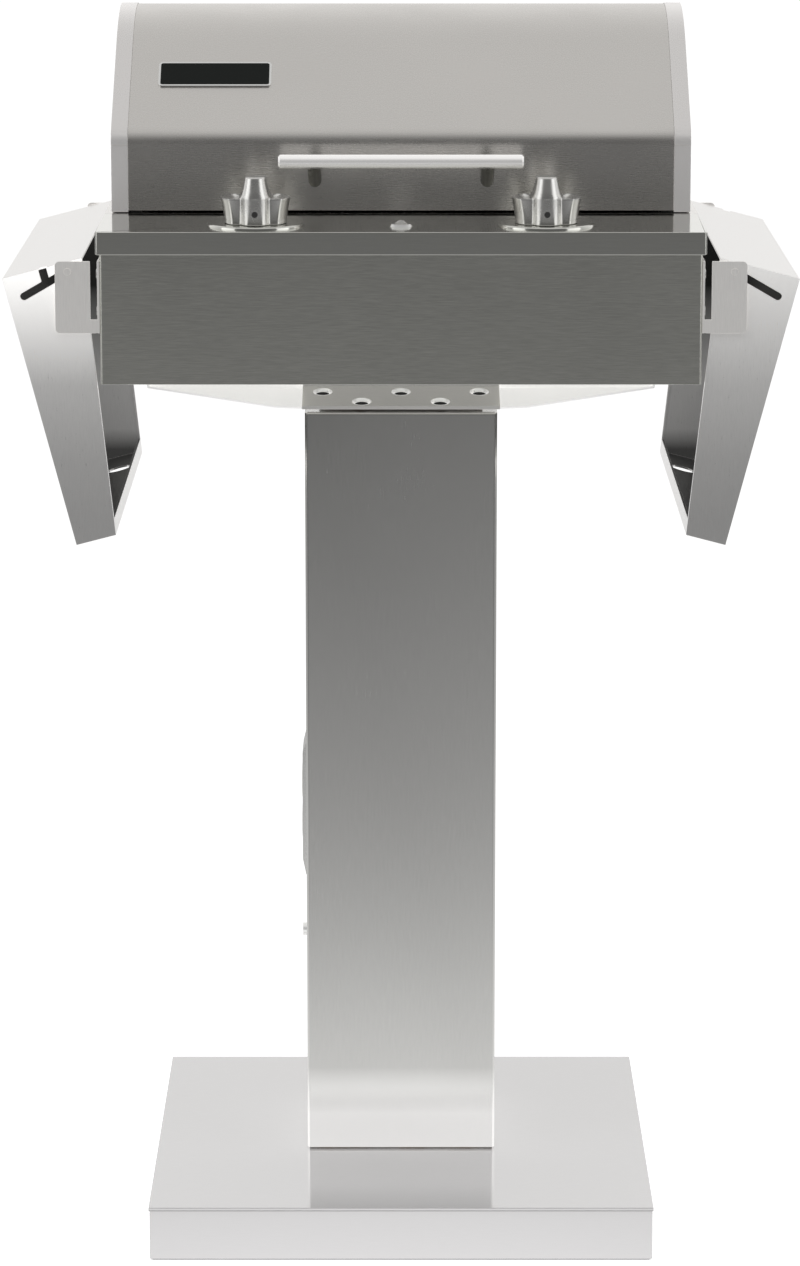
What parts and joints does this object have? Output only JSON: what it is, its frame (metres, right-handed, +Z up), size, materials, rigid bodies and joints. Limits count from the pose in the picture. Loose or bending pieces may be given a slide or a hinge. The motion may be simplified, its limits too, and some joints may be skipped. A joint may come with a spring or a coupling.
{
  "type": "pedestal barbecue grill",
  "caption": "Electric barbecue grill with a hinged rolled lid and fold-down side shelves, on a folded steel column and a weighted base.",
  "frame": {"origin": "middle of the base on the floor", "axes": "+X to the right seen from the front, +Y to the back, +Z up; the handle and knobs face -Y"},
  "size_m": [0.6942, 0.465, 1.108],
  "materials": {
    "brushed_sheet": "brushed",
    "polished_steel": "polished",
    "fastener_steel": "satin",
    "inner_sheet": "matt",
    "rubber_pad": "matt",
    "ballast_iron": "rough",
    "outlet_plastic": "satin",
    "element_sheath": "matt",
    "control_plastic": "matt",
    "lens_glass": "clear",
    "black_enamel": "crinkle",
    "grate_rod": "satin"
  },
  "bodies": {
    "pedestal": {"base_pad": "rubber_pad", "base_ballast": "ballast_iron", "base_cover": "brushed_sheet", "column_foot": "brushed_sheet", "foot_bolts": "fastener_steel", "column_shell": "brushed_sheet", "rear_panel": "brushed_sheet", "rear_panel_screws": "fastener_steel", "outlet_box": "inner_sheet", "receptacle": "outlet_plastic", "outlet_plate": "brushed_sheet", "supply_gland": "polished_steel", "conduit": "inner_sheet", "head_riser": "inner_sheet", "riser_bolts": "fastener_steel", "left_wing": "brushed_sheet", "right_wing": "brushed_sheet", "neck_cover": "brushed_sheet", "body_bottom": "brushed_sheet", "body_shell": "brushed_sheet", "top_frame": "brushed_sheet", "control_panel": "brushed_sheet", "firebox": "inner_sheet", "grate_rails": "inner_sheet", "element_support": "inner_sheet", "left_element": "element_sheath", "right_element": "element_sheath", "left_control": "control_plastic", "right_control": "control_plastic", "knob_bezels": "polished_steel", "indicator_bezel": "polished_steel", "indicator_lens": "lens_glass", "tray_rails": "inner_sheet", "body_hinges": "brushed_sheet", "hinge_pins": "fastener_steel", "left_brackets": "brushed_sheet", "right_brackets": "brushed_sheet", "bracket_screws": "fastener_steel", "left_pins": "fastener_steel", "right_pins": "fastener_steel"},
    "lid": {"lid_shell": "brushed_sheet", "lid_liner": "inner_sheet", "left_lid_cap": "brushed_sheet", "right_lid_cap": "brushed_sheet", "lid_hinges": "brushed_sheet", "lid_handle": "polished_steel", "handle_posts": "polished_steel", "handle_screws": "fastener_steel", "name_plate": "polished_steel", "name_field": "black_enamel"},
    "left_knob_set": {"left_knob": "polished_steel", "left_shaft": "fastener_steel"},
    "right_knob_set": {"right_knob": "polished_steel", "right_shaft": "fastener_steel"},
    "left_grate_set": {"left_grate": "grate_rod"},
    "right_grate_set": {"right_grate": "grate_rod"},
    "tray": {"grease_tray": "brushed_sheet"},
    "left_pan": {"left_shelf": "brushed_sheet"},
    "right_pan": {"right_shelf": "brushed_sheet"}
  },
  "joints": [
    {"name": "lid_hinge", "type": "hinge", "parent": "pedestal", "child": "lid", "pos_m": [0, 0.2253, 0.938], "axis": [-1, 0, 0], "range_deg": [0, 90]},
    {"name": "left_knob_turn", "type": "hinge", "parent": "pedestal", "child": "left_knob_set", "pos_m": [-0.1275, -0.174, 0.938], "axis": [0, 0, -1], "range_deg": [0, 270]},
    {"name": "right_knob_turn", "type": "hinge", "parent": "pedestal", "child": "right_knob_set", "pos_m": [0.1275, -0.174, 0.938], "axis": [0, 0, -1], "range_deg": [0, 270]},
    {"name": "left_grate_lift", "type": "slide", "parent": "pedestal", "child": "left_grate_set", "axis": [0, 0, 1], "range_m": [0, 0.035]},
    {"name": "right_grate_lift", "type": "slide", "parent": "pedestal", "child": "right_grate_set", "axis": [0, 0, 1], "range_m": [0, 0.035]},
    {"name": "tray_pull", "type": "slide", "parent": "pedestal", "child": "tray", "axis": [0, 1, 0], "range_m": [0, 0.22]},
    {"name": "left_shelf_swing", "type": "hinge", "parent": "pedestal", "child": "left_pan", "pos_m": [-0.29, -0.004, 0.9], "axis": [0, 1, 0], "range_deg": [0, 104.6]},
    {"name": "right_shelf_swing", "type": "hinge", "parent": "pedestal", "child": "right_pan", "pos_m": [0.29, -0.004, 0.9], "axis": [0, -1, 0], "range_deg": [0, 104.6]}
  ]
}
